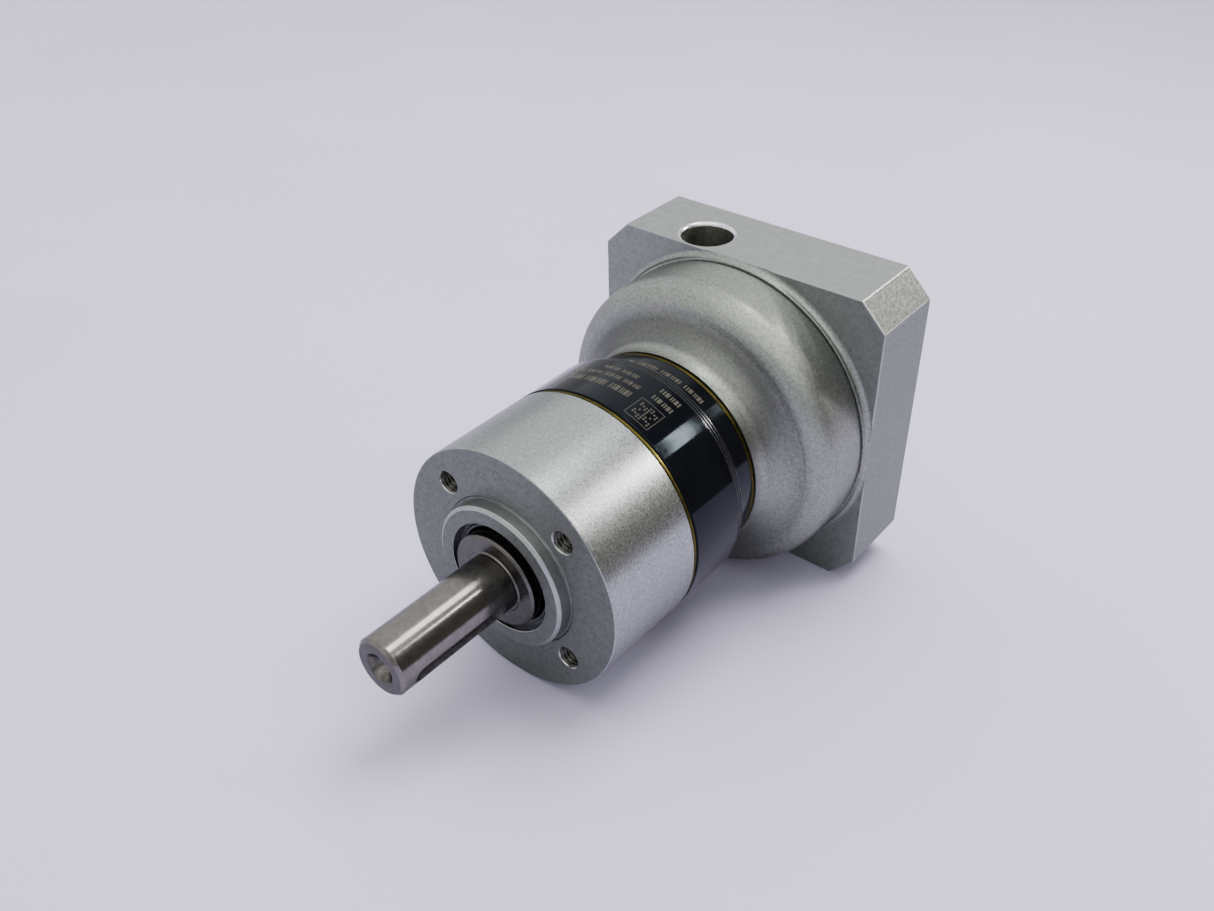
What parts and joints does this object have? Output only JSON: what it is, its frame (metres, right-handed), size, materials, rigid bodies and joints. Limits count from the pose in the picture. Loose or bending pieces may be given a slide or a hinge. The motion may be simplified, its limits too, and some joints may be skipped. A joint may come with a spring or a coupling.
{
  "type": "planetary gearbox",
  "caption": "In-line planetary gearbox: keyed output shaft in a round housing, bell and square motor flange with a clamp hub inside.",
  "frame": {"origin": "on the shaft axis, midway between the output shaft's end and the motor face", "axes": "-Y along the output shaft, +Y towards the motor, +Z towards the flange side with the clamp screw's access hole"},
  "size_m": [0.06, 0.1058, 0.06],
  "materials": {
    "satin_aluminium": "bead-blasted and fine-turned satin aluminium",
    "ground_steel": "ground and polished shaft steel",
    "bearing_steel": "hardened and ground bearing steel",
    "gear_steel": "hobbed and hardened gear steel",
    "browned_steel": "olive-brown passivated steel",
    "spring_steel": "black phosphated spring steel",
    "black_film": "glossy black shrunk sleeve with small pale printing",
    "seal_rubber": "black nitrile rubber",
    "bronze": "bearing bronze",
    "cage_steel": "pressed steel"
  },
  "bodies": {
    "root": {"output_housing": "satin_aluminium", "ring_gear": "browned_steel", "label_sleeve": "black_film", "input_housing": "satin_aluminium", "output_seal": "seal_rubber", "input_seal": "seal_rubber", "front_o_ring": "seal_rubber", "rear_o_ring": "seal_rubber", "front_bearing_outer_ring": "bearing_steel", "rear_bearing_outer_ring": "bearing_steel", "input_bearing_outer_ring": "bearing_steel", "housing_retaining_ring": "spring_steel", "bearing_retaining_ring": "spring_steel"},
    "output": {"output_shaft": "ground_steel", "carrier_plate": "gear_steel", "planet_pin_1": "bearing_steel", "planet_pin_2": "bearing_steel", "planet_pin_3": "bearing_steel", "front_thrust_washer_1": "bronze", "front_thrust_washer_2": "bronze", "front_thrust_washer_3": "bronze", "rear_thrust_washer_1": "bronze", "rear_thrust_washer_2": "bronze", "rear_thrust_washer_3": "bronze", "front_bearing_inner_ring": "bearing_steel", "rear_bearing_inner_ring": "bearing_steel", "shaft_retaining_ring": "spring_steel"},
    "planet_1": {"planet_gear_1": "gear_steel"},
    "planet_2": {"planet_gear_2": "gear_steel"},
    "planet_3": {"planet_gear_3": "gear_steel"},
    "needles_1": {"planet_needle_cage_1": "cage_steel"},
    "needles_2": {"planet_needle_cage_2": "cage_steel"},
    "needles_3": {"planet_needle_cage_3": "cage_steel"},
    "front_balls": {"front_bearing_ball_cage": "cage_steel"},
    "rear_balls": {"rear_bearing_ball_cage": "cage_steel"},
    "input_balls": {"input_bearing_ball_cage": "cage_steel"},
    "input": {"input_hub": "ground_steel", "sun_gear": "gear_steel", "clamp_ring": "gear_steel", "clamp_screw": "spring_steel", "input_bearing_inner_ring": "bearing_steel", "hub_retaining_ring": "spring_steel"}
  },
  "joints": [
    {"name": "output_spin", "type": "hinge", "parent": "root", "child": "output", "pos_m": [0, 0, 0], "axis": [0, 1, 0], "continuous": true},
    {"name": "input_spin", "type": "hinge", "parent": "root", "child": "input", "pos_m": [0, 0, 0], "axis": [0, 1, 0], "continuous": true},
    {"name": "planet_1_spin", "type": "hinge", "parent": "output", "child": "planet_1", "pos_m": [0, 0, 0.0105], "axis": [0, 1, 0], "continuous": true},
    {"name": "needles_1_spin", "type": "hinge", "parent": "output", "child": "needles_1", "pos_m": [0, 0, 0.0105], "axis": [0, 1, 0], "continuous": true},
    {"name": "planet_2_spin", "type": "hinge", "parent": "output", "child": "planet_2", "pos_m": [-0.00909, 0, -0.00525], "axis": [0, 1, 0], "continuous": true},
    {"name": "needles_2_spin", "type": "hinge", "parent": "output", "child": "needles_2", "pos_m": [-0.00909, 0, -0.00525], "axis": [0, 1, 0], "continuous": true},
    {"name": "planet_3_spin", "type": "hinge", "parent": "output", "child": "planet_3", "pos_m": [0.00909, 0, -0.00525], "axis": [0, 1, 0], "continuous": true},
    {"name": "needles_3_spin", "type": "hinge", "parent": "output", "child": "needles_3", "pos_m": [0.00909, 0, -0.00525], "axis": [0, 1, 0], "continuous": true},
    {"name": "front_balls_spin", "type": "hinge", "parent": "root", "child": "front_balls", "pos_m": [0, 0, 0], "axis": [0, 1, 0], "continuous": true},
    {"name": "rear_balls_spin", "type": "hinge", "parent": "root", "child": "rear_balls", "pos_m": [0, 0, 0], "axis": [0, 1, 0], "continuous": true},
    {"name": "input_balls_spin", "type": "hinge", "parent": "root", "child": "input_balls", "pos_m": [0, 0, 0], "axis": [0, 1, 0], "continuous": true}
  ],
  "couplings": [
    {"joint": "input_spin", "follows": "output_spin", "ratio": 5},
    {"joint": "planet_1_spin", "follows": "output_spin", "ratio": -2.6667},
    {"joint": "needles_1_spin", "follows": "output_spin", "ratio": -1.6242},
    {"joint": "planet_2_spin", "follows": "output_spin", "ratio": -2.6667},
    {"joint": "needles_2_spin", "follows": "output_spin", "ratio": -1.6242},
    {"joint": "planet_3_spin", "follows": "output_spin", "ratio": -2.6667},
    {"joint": "needles_3_spin", "follows": "output_spin", "ratio": -1.6242},
    {"joint": "front_balls_spin", "follows": "output_spin", "ratio": 0.44139},
    {"joint": "rear_balls_spin", "follows": "output_spin", "ratio": 0.43539},
    {"joint": "input_balls_spin", "follows": "output_spin", "ratio": 2.207}
  ]
}
